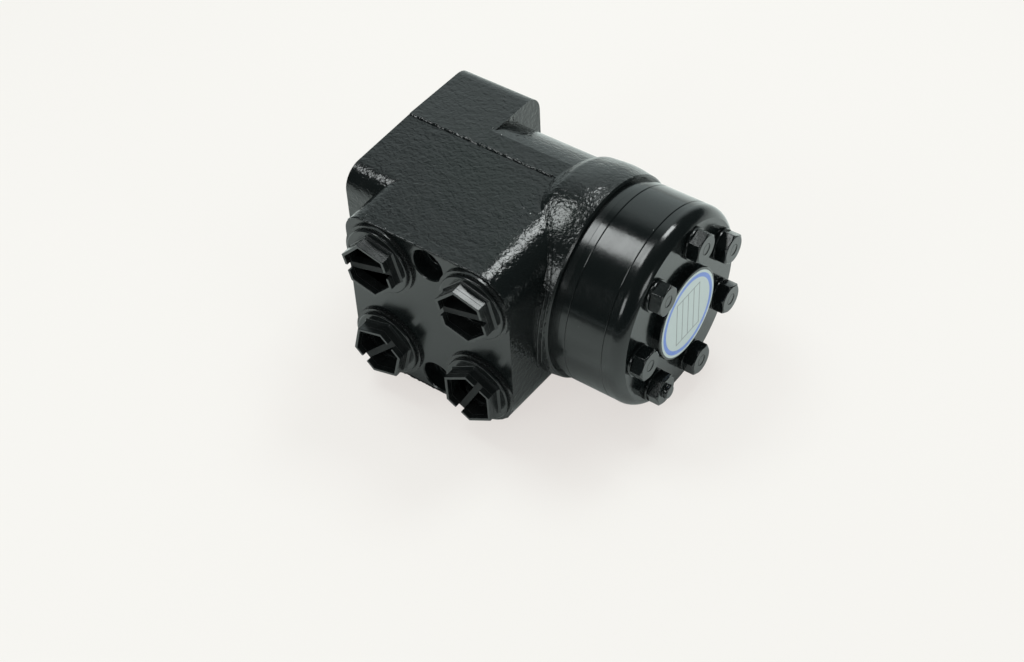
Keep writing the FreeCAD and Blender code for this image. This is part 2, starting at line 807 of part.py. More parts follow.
def distribution_plate():
    """Plate between housing and gear rim, with the meter ports and the screw holes."""
    body = bevelled_disc(RIM_START, PLATE_START, GEAR_R)
    cuts = [cylinder_x(RIM_START - 1, PLATE_START + 1, PLATE_HOLE_R)]
    for angle in screw_angles():
        cuts.append(cylinder_x(RIM_START - 1, PLATE_START + 1, SCREW_HOLE_R, *on_circle(SCREW_CIRCLE, angle)))
    for angle in around(TEETH, 180.0 / TEETH):
        place = on_circle(METER_DRILL_CIRCLE, angle)
        cuts.append(cylinder_x(RIM_START - 1, PLATE_START + 1, METER_DRILL_R, *place))
    cuts.append(face_groove(PLATE_START))
    return body.cut(cuts)


def gear_rim():
    """Outer gear with seven round teeth, each with a screw hole through it."""
    valley_r = TOOTH_CIRCLE - TOOTH_R + 2 * ECCENTRICITY + VALLEY_CLEARANCE
    body = bevelled_disc(COVER_START, RIM_START, GEAR_R)
    body = body.cut(cylinder_x(COVER_START - 1, RIM_START + 1, valley_r))
    teeth = []
    holes = [face_groove(RIM_START)]
    for angle in screw_angles():
        tooth_place = on_circle(TOOTH_CIRCLE, angle)
        teeth.append(cylinder_x(COVER_START, RIM_START, TOOTH_R - TOOTH_CLEARANCE, *tooth_place))
        screw_place = on_circle(SCREW_CIRCLE, angle)
        holes.append(cylinder_x(COVER_START - 1, RIM_START + 1, SCREW_HOLE_R, *screw_place))
    return body.fuse(teeth).cut(holes).removeSplitter()


def rotor_outline(turn):
    """Point of the rotor's outline, an inward offset of a trochoid, about the rotor's centre."""
    lag = math.atan2(
        math.sin((1 - TEETH) * turn),
        TOOTH_CIRCLE / (ECCENTRICITY * TEETH) - math.cos((1 - TEETH) * turn),
    )
    y = TOOTH_CIRCLE * math.cos(turn) - TOOTH_R * math.cos(turn + lag)
    z = -TOOTH_CIRCLE * math.sin(turn) + TOOTH_R * math.sin(turn + lag)
    y -= ECCENTRICITY * math.cos(TEETH * turn)
    z += ECCENTRICITY * math.sin(TEETH * turn)
    return y, z


def rotor():
    """Inner gear with six lobes and the splined hole for the cardan shaft."""
    low = COVER_START + SIDE_CLEARANCE
    high = RIM_START - SIDE_CLEARANCE
    count = (TEETH - 1) * ROTOR_POINTS_PER_LOBE
    points = []
    for angle in around(count):
        y, z = rotor_outline(math.radians(angle))
        points.append(Vector(low, y, z))
    outline = Part.BSplineCurve()
    outline.interpolate(points, PeriodicFlag=True)
    body = Part.Face(Part.Wire(outline.toShape())).extrude(Vector(high - low, 0, 0))
    hole = spline_prism(
        low - 1, high + 1, SHAFT_TEETH, ROTOR_SPLINE_SMALL_R, ROTOR_SPLINE_LARGE_R, 0.56
    )
    body = body.cut(hole)
    body.translate(Vector(0, ECCENTRICITY, 0))
    return body


def cardan_shaft():
    """Shaft with a fork over the cross pin and a short splined head in the rotor."""
    pin_to_head = (-PIN_X - ROTOR_MIDDLE) / math.cos(math.radians(SHAFT_TILT))
    head_end = -pin_to_head - SHAFT_HEAD_WIDTH / 2
    fork_start = -FORK_LENGTH + FORK_REACH
    shank = lathe(
        [
            (head_end, 0, 0),
            (head_end, SHAFT_SPLINE_SMALL_R, 1.0),
            (head_end + SHAFT_HEAD_WIDTH, SHAFT_SPLINE_SMALL_R, 0),
            (head_end + SHAFT_HEAD_WIDTH + 3, SHAFT_R, 2.0),
            (fork_start - 3, SHAFT_R, 2.0),
            (fork_start, FORK_R, 1.0),
            (FORK_REACH, FORK_R, 2.0),
            (FORK_REACH, 0, 0),
        ]
    )
    head = spline_prism(
        head_end, head_end + SHAFT_HEAD_WIDTH, SHAFT_TEETH, SHAFT_SPLINE_SMALL_R, SHAFT_SPLINE_LARGE_R, 0.36
    )
    half_slot = PIN_R + FORK_SLOT_CLEARANCE
    slot_end = -half_slot - 1.5
    slot = box((slot_end, FORK_REACH + 1), (-half_slot, half_slot), (-2 * FORK_R, 2 * FORK_R))
    body = shank.fuse(head).cut(slot)
    body.rotate(CENTRE, Vector(0, 0, 1), -SHAFT_TILT)
    body.translate(Vector(-PIN_X, 0, 0))
    return body


def spacer():
    """Loose disc between the cardan shaft and the end cover."""
    low = COVER_START + SPACER_GAP
    return cylinder_x(low, low + SPACER_THICKNESS, SPACER_R, ECCENTRICITY, 0)


def face_o_ring(x):
    """O-ring in the groove of the face at plane x."""
    return torus_x(x - FACE_RING_R - O_RING_GAP, FACE_RING_CIRCLE, FACE_RING_R)


# Cover, screws and check valve


def end_cover():
    """End cover with a rounded edge and a raised round boss."""
    side_end = COVER_START - COVER_SIDE
    rim_arc = Part.Arc(
        Vector(side_end, GEAR_R, 0),
        Vector(COVER_FACE + COVER_ROUND_X, GEAR_R - COVER_ROUND_R, 0),
        Vector(COVER_FACE, COVER_FACE_R, 0),
    ).toShape()
    points = [
        Vector(COVER_FACE, COVER_FACE_R, 0),
        Vector(COVER_FACE, 0, 0),
        Vector(COVER_START, 0, 0),
        Vector(COVER_START, GEAR_R - JOINT_BEVEL, 0),
        Vector(COVER_START - JOINT_BEVEL, GEAR_R, 0),
        Vector(side_end, GEAR_R, 0),
    ]
    wire = Part.Wire([rim_arc] + Part.makePolygon(points).Edges)
    disc = Part.Face(wire).revolve(CENTRE, AXIS, 360)
    boss = lathe(
        [
            (BOSS_FACE, 0, 0),
            (BOSS_FACE, BOSS_R, BOSS_ROUND),
            (COVER_FACE + 1, BOSS_R, 0),
            (COVER_FACE + 1, 0, 0),
        ]
    )
    cuts = [face_groove(COVER_START)]
    for angle in screw_angles():
        place = on_circle(SCREW_CIRCLE, angle)
        cuts.append(cylinder_x(COVER_FACE - 1, COVER_START + 1, SCREW_HOLE_R, *place))
    return disc.fuse(boss).cut(cuts)


def label():
    """Round label on the end cover's boss."""
    return cylinder_x(BOSS_FACE - LABEL_THICKNESS, BOSS_FACE, LABEL_R)


def screw(tip_x, angle):
    """Hexagon head screw with a chamfered head and a shallow dimple in it."""
    y, z = on_circle(SCREW_CIRCLE, angle)
    corner_r = HEAD_FLATS / 2 / math.cos(math.radians(30))
    end = HEAD_UNDERSIDE - HEAD_HEIGHT
    head = hexagon_prism(corner_r, Vector(end, y, z), AXIS, HEAD_HEIGHT, angle)
    chamfer = Part.makeCone(
        HEAD_FLATS / 2 - 0.3,
        HEAD_FLATS / 2 - 0.3 + HEAD_HEIGHT / math.tan(math.radians(30)),
        HEAD_HEIGHT,
        Vector(end, y, z),
        AXIS,
    )
    dimple = cylinder_x(end - 1, end + HEAD_DIMPLE_DEPTH, HEAD_DIMPLE_R, y, z)
    head = head.common(chamfer).cut(dimple)
    return head.fuse(cylinder_x(HEAD_UNDERSIDE - 1, tip_x, SCREW_R, y, z))


def cover_screws():
    """Six plain cover screws."""
    tip = -HOUSING_END + SCREW_GRIP
    screws = [screw(tip, angle) for k, angle in enumerate(screw_angles()) if k != SPECIAL_SCREW]
    return Part.makeCompound(screws)


def special_screw():
    """Cover screw with a round nub on its head, which ends in the check valve's bushing."""
    y, z = on_circle(SCREW_CIRCLE, special_angle())
    end = HEAD_UNDERSIDE - HEAD_HEIGHT
    tip = -HOUSING_END + BUSHING_SINK + SCREW_IN_BUSHING
    nub = lathe(
        [
            (end - NUB_HEIGHT, 0, 0),
            (end - NUB_HEIGHT, NUB_R, NUB_ROUND),
            (end + 1, NUB_R, 0),
            (end + 1, 0, 0),
        ]
    )
    nub.translate(Vector(0, y, z))
    return screw(tip, special_angle()).fuse(nub)


def cover_washers():
    """Washers under the seven screw heads."""
    rings = []
    for angle in screw_angles():
        y, z = on_circle(SCREW_CIRCLE, angle)
        rings.append(tube_x(HEAD_UNDERSIDE, COVER_FACE, WASHER_R, SCREW_HOLE_R, y, z))
    return Part.makeCompound(rings)


def check_bushing():
    """Threaded bushing that holds the special screw and lets the oil pass."""
    y, z = on_circle(SCREW_CIRCLE, special_angle())
    low = -HOUSING_END + BUSHING_SINK
    return tube_x(low, bushing_inner_end(), BUSHING_R, SCREW_THREAD_R, y, z)


def stop_pin():
    """Pin between the special screw and the ball, which limits the ball's travel."""
    y, z = on_circle(SCREW_CIRCLE, special_angle())
    low = -HOUSING_END + BUSHING_SINK + SCREW_IN_BUSHING
    high = ball_centre_x() - BALL_R - BALL_LIFT - BALL_STOP_GAP
    return cylinder_x(low, high, STOP_PIN_R, y, z)


def check_ball():
    """Ball of the check valve, on its seat."""
    y, z = on_circle(SCREW_CIRCLE, special_angle())
    return Part.makeSphere(BALL_R, Vector(ball_centre_x(), y, z))


def pieces():
    """Every node with its solid."""
    nodes = {
        "housing": housing(),
        "plug_seals": plug_seals(),
        "spool": spool(),
        "sleeve": sleeve(),
        "cross_pin": cross_pin(),
        "spring_ring": spring_ring(),
        "flat_springs": flat_springs(),
        "arched_springs": arched_springs(),
        "thrust_outer_race": outer_race(),
        "thrust_inner_race": inner_race(),
        "thrust_needles": needles(),
        "needle_cage": needle_cage(),
        "dust_seal": dust_seal(),
        "shaft_seal_ring": shaft_seal_ring(),
        "shaft_o_ring": shaft_o_ring(),
        "plate_o_ring": face_o_ring(PLATE_START),
        "rim_o_ring": face_o_ring(RIM_START),
        "cover_o_ring": face_o_ring(COVER_START),
        "distribution_plate": distribution_plate(),
        "gear_rim": gear_rim(),
        "rotor": rotor(),
        "cardan_shaft": cardan_shaft(),
        "spacer": spacer(),
        "end_cover": end_cover(),
        "label": label(),
        "cover_screws": cover_screws(),
        "special_screw": special_screw(),
        "cover_washers": cover_washers(),
        "check_bushing": check_bushing(),
        "stop_pin": stop_pin(),
        "check_ball": check_ball(),
    }
    for name, x, z in port_places():
        nodes["plug_" + name] = plug(x, z, PLUG_SLOT_ANGLES[name])
    return nodes


os.makedirs("parts", exist_ok=True)
for node, shape in pieces().items():
    shape.exportStep("parts/" + node + ".step")
    print(node, "valid" if shape.isValid() else "NOT VALID", len(shape.Solids), round(shape.Volume, 1))
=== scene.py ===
import math

import bmesh
import bpy
from mathutils import Matrix, Vector, noise
from mathutils.bvhtree import BVHTree


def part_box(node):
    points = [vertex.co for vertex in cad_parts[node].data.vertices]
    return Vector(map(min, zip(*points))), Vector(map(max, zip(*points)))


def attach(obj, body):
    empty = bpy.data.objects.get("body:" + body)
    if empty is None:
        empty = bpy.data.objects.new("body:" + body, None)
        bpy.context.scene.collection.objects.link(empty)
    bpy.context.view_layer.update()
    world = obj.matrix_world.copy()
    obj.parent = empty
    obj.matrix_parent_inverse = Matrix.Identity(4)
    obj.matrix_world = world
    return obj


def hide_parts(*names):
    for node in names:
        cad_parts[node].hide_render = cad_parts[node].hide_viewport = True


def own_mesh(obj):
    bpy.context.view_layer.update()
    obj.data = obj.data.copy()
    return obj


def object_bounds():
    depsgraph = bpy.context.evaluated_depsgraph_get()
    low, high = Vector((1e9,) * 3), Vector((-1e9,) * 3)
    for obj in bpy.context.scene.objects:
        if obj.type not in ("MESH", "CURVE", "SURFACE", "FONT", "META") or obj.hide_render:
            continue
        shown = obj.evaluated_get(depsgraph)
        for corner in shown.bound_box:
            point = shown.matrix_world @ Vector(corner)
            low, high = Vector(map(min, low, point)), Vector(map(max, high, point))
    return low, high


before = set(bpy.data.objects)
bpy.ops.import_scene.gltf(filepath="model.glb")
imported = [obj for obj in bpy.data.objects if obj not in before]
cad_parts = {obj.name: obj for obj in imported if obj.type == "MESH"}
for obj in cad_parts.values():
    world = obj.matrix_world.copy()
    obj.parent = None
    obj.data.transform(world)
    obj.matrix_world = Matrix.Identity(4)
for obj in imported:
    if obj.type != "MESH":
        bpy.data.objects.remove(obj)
cad_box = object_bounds()
MM = 0.001


# Camera
# The photograph was taken from above the port face, looking down on the cast side and on the
# end cover. The values are the place of the real camera, worked out from the object's circles.

VIEW_AZIMUTH = math.radians(218.13)
VIEW_ELEVATION = math.radians(45.61)
VIEW_ROLL = math.radians(-3.23)
VIEW_TARGET = Vector((-70.0, 0.0, 0.0)) * MM
VIEW_ASIDE = -13.55 * MM
VIEW_ABOVE = -36.99 * MM
VIEW_DISTANCE = 837.2 * MM
LENS = 66.85
CLIP_START = 0.01
UP = Vector((0, 0, 1))


def new_object(name, data):
    """New object in the scene."""
    made = bpy.data.objects.new(name, data)
    bpy.context.scene.collection.objects.link(made)
    return made


def facing(thing, right, up, out):
    """Turns a camera or lamp so that its own axes point right, up and out."""
    thing.rotation_mode = "QUATERNION"
    thing.rotation_quaternion = Matrix((right, up, out)).transposed().to_quaternion()


toward_camera = Vector((
    math.sin(VIEW_AZIMUTH) * math.cos(VIEW_ELEVATION),
    -math.cos(VIEW_AZIMUTH) * math.cos(VIEW_ELEVATION),
    math.sin(VIEW_ELEVATION),
))
level_right = (-toward_camera).cross(UP).normalized()
level_up = level_right.cross(-toward_camera)
view_right = level_right * math.cos(VIEW_ROLL) + level_up * math.sin(VIEW_ROLL)
view_up = level_up * math.cos(VIEW_ROLL) - level_right * math.sin(VIEW_ROLL)

camera = new_object("camera", bpy.data.cameras.new("camera"))
camera.data.lens = LENS
camera.data.clip_start = CLIP_START
facing(camera, view_right, view_up, toward_camera)
camera.location = (
    VIEW_TARGET + view_right * VIEW_ASIDE + view_up * VIEW_ABOVE + toward_camera * VIEW_DISTANCE
)
bpy.context.scene.camera = camera


# Studio
# A wide pale table in a dim room with a pale wall on the side away from the ports, two softboxes
# overhead and two smaller lights at the sides, as the reflections in the black paint show.

BLACK = (0, 0, 0, 1)
WHITE = (1, 1, 1, 1)
TABLE_SIZE = 6.0
TABLE_SEEN = (0.887, 0.837, 0.805, 1)
TABLE_LIT = (0.80, 0.87, 0.84, 1)
TABLE_SHOWS_SHADE = 0.25
TABLE_FADES = (0.35, 0.8)
TABLE_FADE_SIDE = (-0.2, 0.2)
TABLE_FAR_SHADE = 0.15
BACKDROP = (0.922, 0.905, 0.871, 1)
WALL_PALE = (0.82, 0.94, 0.93, 1)
WALL_AWAY = (-0.30, -0.64)
WALL_BESIDE = (0.0, 0.35)
HORIZON = (0.02, -0.02)
ROOM_DIM = (0.030, 0.040, 0.040, 1)
ROOM_LIGHT = 0.75
LIGHTS = (
    ("softbox_key", (0.40, 0.07, 0.91), (0.25, 0.34), 9.0),
    ("softbox_edge", (-0.06, -0.49, 0.87), (0.26, 0.27), 12.0),
    ("lamp_ports", (0.10, 0.85, 0.48), (0.22, 0.26), 5.0),
    ("lamp_cover", (-0.93, 0.15, 0.32), (0.22, 0.22), 5.0),
)
LIGHT_DISTANCE = 0.85
LIGHT_COLOUR = (0.95, 1.0, 0.99)

bpy.context.scene.view_settings.view_transform = "Standard"


def empty_tree(owner):
    """The cleared node tree of a material or a world."""
    owner.use_nodes = True
    owner.node_tree.nodes.clear()
    return owner.node_tree


def add_node(tree, kind, **settings):
    """New node; settings are its properties, and in_NAME or in_INDEX its inputs' values."""
    node = tree.nodes.new(kind)
    for name, value in settings.items():
        if not name.startswith("in_"):
            setattr(node, name, value)
    for name, value in settings.items():
        if name.startswith("in_"):
            key = name[3:].replace("_", " ")
            socket = node.inputs[int(key)] if key.isdigit() else node.inputs[key]
            if isinstance(value, bpy.types.NodeSocket):
                tree.links.new(value, socket)
            else:
                socket.default_value = value
    return node


def math_node(tree, operation, first, second=0.0, third=0.0):
    """Result of one Math node."""
    return add_node(
        tree, "ShaderNodeMath", operation=operation, in_0=first, in_1=second, in_2=third
    ).outputs[0]


def soft_step(tree, value, low, high, start=0.0, end=1.0):
    """Smooth change from start to end while the value goes from low to high."""
    return add_node(
        tree, "ShaderNodeMapRange", interpolation_type="SMOOTHSTEP", in_Value=value,
        in_From_Min=low, in_From_Max=high, in_To_Min=start, in_To_Max=end,
    ).outputs[0]


def parts_of(tree, vector):
    """The three parts of a place or direction."""
    return add_node(tree, "ShaderNodeSeparateXYZ", in_0=vector).outputs


def mixed_colour(tree, share, low, high):
    """Colour that goes from low to high with a share."""
    mix = add_node(tree, "ShaderNodeMix", data_type="RGBA", in_0=share, in_6=low, in_7=high)
    return mix.outputs[2]


def mixed_shader(tree, share, low, high):
    """Shader that goes from low to high with a share."""
    return add_node(tree, "ShaderNodeMixShader", in_0=share, in_1=low, in_2=high).outputs[0]


def background(tree, colour, strength=1.0):
    """Light of the room in one colour."""
    return add_node(
        tree, "ShaderNodeBackground", in_Color=colour, in_Strength=strength
    ).outputs[0]


def table_material():
    """Matt white table, whose own colour the camera sees with only part of its shade, and with
    painted shade far out on the ports side.
    """
    material = bpy.data.materials.new("table_paper")
    tree = empty_tree(material)
    place = tree.nodes.new("ShaderNodeTexCoord").outputs["Object"]
    reach = add_node(tree, "ShaderNodeVectorMath", operation="LENGTH", in_0=place).outputs["Value"]
    by_camera = tree.nodes.new("ShaderNodeLightPath").outputs["Is Camera Ray"]
    # Painted shade: far out on the ports side the table goes dark for every ray but the camera's.
    away = soft_step(tree, reach, *TABLE_FADES)
    ports_side = soft_step(tree, parts_of(tree, place)[1], *TABLE_FADE_SIDE)
    far = math_node(tree, "MULTIPLY", away, ports_side)
    painted_far_shade = soft_step(tree, far, 0.0, 1.0, 1.0, TABLE_FAR_SHADE)
    strength = math_node(tree, "MAXIMUM", painted_far_shade, by_camera)
    colour = mixed_colour(tree, strength, BLACK, TABLE_LIT)
    lit = add_node(tree, "ShaderNodeBsdfDiffuse", in_Color=colour).outputs[0]
    seen = add_node(tree, "ShaderNodeEmission", in_Color=TABLE_SEEN, in_Strength=1.0).outputs[0]
    share = math_node(tree, "MULTIPLY", by_camera, 1.0 - TABLE_SHOWS_SHADE)
    add_node(tree, "ShaderNodeOutputMaterial", in_0=mixed_shader(tree, share, lit, seen))
    return material


def lay_table():
    """Table top at the lowest point of the object."""
    mesh = bpy.data.meshes.new("table")
    half = TABLE_SIZE / 2
    corners = [(-half, -half), (half, -half), (half, half), (-half, half)]
    height = cad_box[0].z
    mesh.from_pydata([(x, y, height) for x, y in corners], [], [(0, 1, 2, 3)])
    mesh.materials.append(table_material())
    table = new_object("table", mesh)


def light_room():
    """Even room light for the shading; the reflections show a dim room with one pale wall."""
    world = bpy.data.worlds.new("room")
    bpy.context.scene.world = world
    tree = empty_tree(world)
    direction = tree.nodes.new("ShaderNodeTexCoord").outputs["Generated"]
    parts = parts_of(tree, direction)
    away = soft_step(tree, parts[1], *WALL_AWAY)
    beside = soft_step(tree, parts[0], *WALL_BESIDE)
    wall = math_node(tree, "MULTIPLY", away, beside)
    below = soft_step(tree, parts[2], *HORIZON)
    pale = math_node(tree, "MAXIMUM", wall, below)
    reflected = background(tree, mixed_colour(tree, pale, ROOM_DIM, WALL_PALE))
    shading = background(tree, WHITE, ROOM_LIGHT)
    rays = tree.nodes.new("ShaderNodeLightPath").outputs
    mirrored = mixed_shader(tree, rays["Is Glossy Ray"], shading, reflected)
    straight = math_node(tree, "MAXIMUM", rays["Is Camera Ray"], rays["Is Transmission Ray"])
    room = mixed_shader(tree, straight, mirrored, background(tree, BACKDROP))
    add_node(tree, "ShaderNodeOutputWorld", in_0=room)


def hang_light(name, toward, size, radiance):
    """Rectangular soft light that faces the object, as bright in a reflection as it says."""
    light = bpy.data.lights.new(name, "AREA")
    light.shape = "RECTANGLE"
    light.size, light.size_y = size
    light.color = LIGHT_COLOUR
    light.energy = radiance * math.pi * size[0] * size[1]
    lamp = new_object(name, light)
    direction = Vector(toward).normalized()
    lamp.location = VIEW_TARGET + direction * LIGHT_DISTANCE
    across = Vector((0, 1, 0)).cross(direction).normalized()
    facing(lamp, across, direction.cross(across), direction)


lay_table()
light_room()
for light_values in LIGHTS:
    hang_light(*light_values)


# Housing
# A sand casting of grey iron, drilled and faced, and dipped in thick gloss black paint, which
# rounds the grain of the sand. The faced planes under the paint are smooth.

PAINT_BLACK = (0.0038, 0.0052, 0.0052, 1)
PAINT_ROUGHNESS = 0.19
PAINT_GLOSS = (PAINT_ROUGHNESS - 0.03, PAINT_ROUGHNESS + 0.04)
PAINT_POOLS = 60.0
PATCH_RANGE = (0.3, 0.7)
SKIN_FINE = 500.0
SKIN_COARSE = 170.0
SKIN_COARSE_SHARE = 0.8
SKIN_BENDS = (0.6, 0.3)
SKIN_DEPTH = 0.00026
DUST_PALE = (0.42, 0.43, 0.42, 1)
DUST_CELLS = 330.0
DUST_RARITY = 0.96
GRAIN_REACH = (0.05, 0.03)
PORT_FACE_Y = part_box("plug_seals")[0].y
COLUMN_FACE_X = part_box("housing")[1].x
REAR_FACE_X = -0.1050
FACED_EDGE = 0.0003
PLACE = "NodeSocketVector"
NUMBER = "NodeSocketFloat"


def new_material(name):
    """Material with its empty tree, its Principled shader and its object coordinates."""
    material = bpy.data.materials.new(name)
    tree = empty_tree(material)
    shader = tree.nodes.new("ShaderNodeBsdfPrincipled")
    add_node(tree, "ShaderNodeOutputMaterial", in_0=shader.outputs[0])
    place = tree.nodes.new("ShaderNodeTexCoord").outputs["Object"]
    return material, tree, shader, place


def new_group(kind, name, inputs, output):
    """Node group with its named inputs and one output, each given with its kind of socket."""
    group = bpy.data.node_groups.new(name, kind)
    for socket_name, socket_kind in inputs:
        group.interface.new_socket(name=socket_name, in_out="INPUT", socket_type=socket_kind)
    group.interface.new_socket(name=output[0], in_out="OUTPUT", socket_type=output[1])
    return group, group.nodes.new("NodeGroupInput").outputs


def noise_on(tree, place, scale, detail, bend=0.0):
    """Noise pattern on a place, bent by a share."""
    return add_node(
        tree, "ShaderNodeTexNoise", in_Vector=place, in_Scale=scale, in_Detail=detail,
        in_Distortion=bend,
    ).outputs[0]


def bumped(tree, height, distance, strength=1.0):
    """Normal of a surface with a height pattern of that depth."""
    return add_node(
        tree, "ShaderNodeBump", in_Strength=strength, in_Distance=distance, in_Height=height
    ).outputs[0]


def finish_surface(tree, shader, colour, gloss, bump):
    """Joins colour, roughness and normal to the shader."""
    tree.links.new(colour, shader.inputs["Base Color"])
    tree.links.new(gloss, shader.inputs["Roughness"])
    tree.links.new(bump, shader.inputs["Normal"])


def cast_skin_group():
    """Height of a painted sand-cast skin, with the long soft waves and the rounded grain."""
    group, given = new_group(
        "ShaderNodeTree", "cast_skin", (("Place", PLACE), ("Fine", NUMBER), ("Coarse", NUMBER)),
        ("Height", NUMBER),
    )
    fine = noise_on(group, given["Place"], given["Fine"], 2.0, SKIN_BENDS[0])
    coarse = noise_on(group, given["Place"], given["Coarse"], 2.0, SKIN_BENDS[1])
    waves = math_node(group, "MULTIPLY_ADD", coarse, SKIN_COARSE_SHARE, fine)
    add_node(group, "NodeGroupOutput", in_Height=waves)
    return group


def dust_group():
    """Mask of dust grains caught in the paint: a few round specks, each in its own cell."""
    group, given = new_group(
        "ShaderNodeTree", "dust_grains",
        (("Place", PLACE), ("Cells", NUMBER), ("Rarity", NUMBER)), ("Mask", NUMBER),
    )
    cells = add_node(
        group, "ShaderNodeTexVoronoi", in_Vector=given["Place"], in_Scale=given["Cells"]
    ).outputs
    chance = add_node(group, "ShaderNodeSeparateColor", in_0=cells["Color"]).outputs
    reach = math_node(group, "MULTIPLY_ADD", chance[1], *GRAIN_REACH)
    grain = math_node(group, "LESS_THAN", cells["Distance"], reach)
    chosen = math_node(group, "GREATER_THAN", chance[0], given["Rarity"])
    add_node(group, "NodeGroupOutput", in_Mask=math_node(group, "MULTIPLY", grain, chosen))
    return group


def dusty_paint(tree, place, cells, rarity):
    """Black of the paint, broken by grains of dust."""
    mask = add_node(
        tree, "ShaderNodeGroup", node_tree=dust_grains, in_Place=place, in_Cells=cells,
        in_Rarity=rarity,
    ).outputs[0]
    return mixed_colour(tree, mask, PAINT_BLACK, DUST_PALE)


def painted_casting():
    """Gloss black paint on the cast skin, smooth on the faced planes."""
    material, tree, shader, place = new_material("painted_casting")
    skin = add_node(
        tree, "ShaderNodeGroup", node_tree=cast_skin_group(), in_Place=place, in_Fine=SKIN_FINE,
        in_Coarse=SKIN_COARSE,
    ).outputs[0]
    parts = parts_of(tree, place)
    off_port_face = math_node(tree, "LESS_THAN", parts[1], PORT_FACE_Y - FACED_EDGE)
    off_column_face = math_node(tree, "LESS_THAN", parts[0], COLUMN_FACE_X - FACED_EDGE)
    off_rear_face = math_node(tree, "GREATER_THAN", parts[0], REAR_FACE_X)
    cast = math_node(tree, "MULTIPLY", off_port_face, off_column_face)
    cast = math_node(tree, "MULTIPLY", cast, off_rear_face)
    bump = bumped(tree, math_node(tree, "MULTIPLY", skin, cast), SKIN_DEPTH)
    gloss = soft_step(tree, noise_on(tree, place, PAINT_POOLS, 3.0), *PATCH_RANGE, *PAINT_GLOSS)
    colour = dusty_paint(tree, place, DUST_CELLS, DUST_RARITY)
    finish_surface(tree, shader, colour, gloss, bump)
    return material


def paint_node(node, material):
    """Gives a CAD node its material."""
    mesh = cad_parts[node].data
    mesh.materials.clear()
    mesh.materials.append(material)


dust_grains = dust_group()
casting = painted_casting()
paint_node("housing", casting)


# Parting seams
# The two halves of the mould left a thin broken ridge of iron along both flat sides, which was
# struck off roughly before painting.

SEAM_START = -0.0006
SEAM_END = -0.0775
SEAM_STEP = 0.0005
SEAM_HALF_WIDTH = 0.00115
SEAM_SINK = 0.0004
SEAM_HEIGHTS = (0.00020, 0.00080)
SEAM_PROFILE = ((-1.0, 0.0), (-0.45, 0.75), (0.0, 1.0), (0.75, 0.15), (1.0, 0.0))
SEAM_SWAY = 0.00022
SWAY_RATE = 350
SWAY_ROW = 3.7
BREAK_RATE = 900
BREAK_ROWS = (8.1, 5.3)
BREAK_MEAN = 0.5
BREAK_SWING = 0.9
FAR_OUT = 0.2


def skin_finder(node):
    """Search tree of a CAD node's surface."""
    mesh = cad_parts[node].data
    corners = [vertex.co.copy() for vertex in mesh.vertices]
    faces = [tuple(polygon.vertices) for polygon in mesh.polygons]
    return BVHTree.FromPolygons(corners, faces)


def flat_side(finder, x, y, side):
    """Place on the skin that is met from far above, or from far below for side -1."""
    return finder.ray_cast(Vector((x, y, side * FAR_OUT)), Vector((0, 0, -side)))[0]


def cast_piece(name, vertices, faces):
    """New smooth-shaded piece of the painted casting."""
    mesh = bpy.data.meshes.new(name)
    mesh.from_pydata(vertices, [], faces)
    mesh.update()
    mesh.polygons.foreach_set("use_smooth", [True] * len(mesh.polygons))
    mesh.materials.append(casting)
    piece = new_object(name, mesh)
    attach(piece, "housing_set")
    return piece


def direction_at(places, index):
    """Direction of a row of places at one of them."""
    last = len(places) - 1
    return (places[min(index + 1, last)] - places[max(index - 1, 0)]).normalized()


def ridge(places, outs, heights, half_width, profile):
    """Closed ridge along places; the profile gives place across and share of the height."""
    vertices = []
    for index, (place, out, height) in enumerate(zip(places, outs, heights)):
        aside = direction_at(places, index).cross(out).normalized()
        for across, share in profile:
            rise = height * share if share else -SEAM_SINK
            vertices.append(place + aside * (half_width * across) + out * rise)
    last = len(places) - 1
    width = len(profile)
    faces = [tuple(range(width)), tuple(reversed(range(last * width, (last + 1) * width)))]
    for index in range(last):
        for k in range(width):
            corner, beside = index * width + k, index * width + (k + 1) % width
            faces.append((corner, corner + width, beside + width, beside))
    return vertices, faces


def parting_seam(finder, side):
    """Broken ridge on the upper or lower flat side."""
    places, heights = [], []
    low, high = SEAM_HEIGHTS
    for index in range(int((SEAM_START - SEAM_END) / SEAM_STEP)):
        x = SEAM_START - index * SEAM_STEP
        y = SEAM_SWAY * noise.noise(Vector((x * SWAY_RATE, SWAY_ROW * side, 0)))
        spot = Vector((x * BREAK_RATE, BREAK_ROWS[0], side * BREAK_ROWS[1]))
        broken = BREAK_MEAN + BREAK_SWING * noise.noise(spot)
        places.append(flat_side(finder, x, y, side))
        heights.append(low + (high - low) * min(max(broken, 0.0), 1.0))
    outs = [Vector((0, 0, side))] * len(places)
    return ridge(places, outs, heights, SEAM_HALF_WIDTH, SEAM_PROFILE)


housing_skin = skin_finder("housing")
for seam_name, seam_side in (("parting_seam_upper", 1), ("parting_seam_lower", -1)):
    cast_piece(seam_name, *parting_seam(housing_skin, seam_side))


# Core seams
# Two fine parallel lines on the rear of the block, where a loose piece of the mould met the rest.
# They are laid out by their pixels in the photograph and lie on the housing's skin there.

CORE_LINE = (
    (546.0, 204.0), (549.5, 222.0), (550.3, 240.0), (550.3, 258.0), (549.0, 283.0),
    (546.0, 303.0), (541.0, 322.0), (539.0, 345.0), (539.5, 362.0),
)
CORE_OFFSETS = (-2.0, 2.0)
CORE_POINTS = 110
CORE_HEIGHT = 0.00042
CORE_HALF_WIDTH = 0.00060
CORE_JUMP = 0.004
CORE_WAVE_RATE = 700
CORE_WAVE = 0.6
CREST_PROFILE = ((-1.0, 0.0), (-0.5, 0.7), (0.0, 1.0), (0.5, 0.7), (1.0, 0.0))
PHOTO_SIZE = (1024, 662)
SENSOR_WIDTH = 36.0


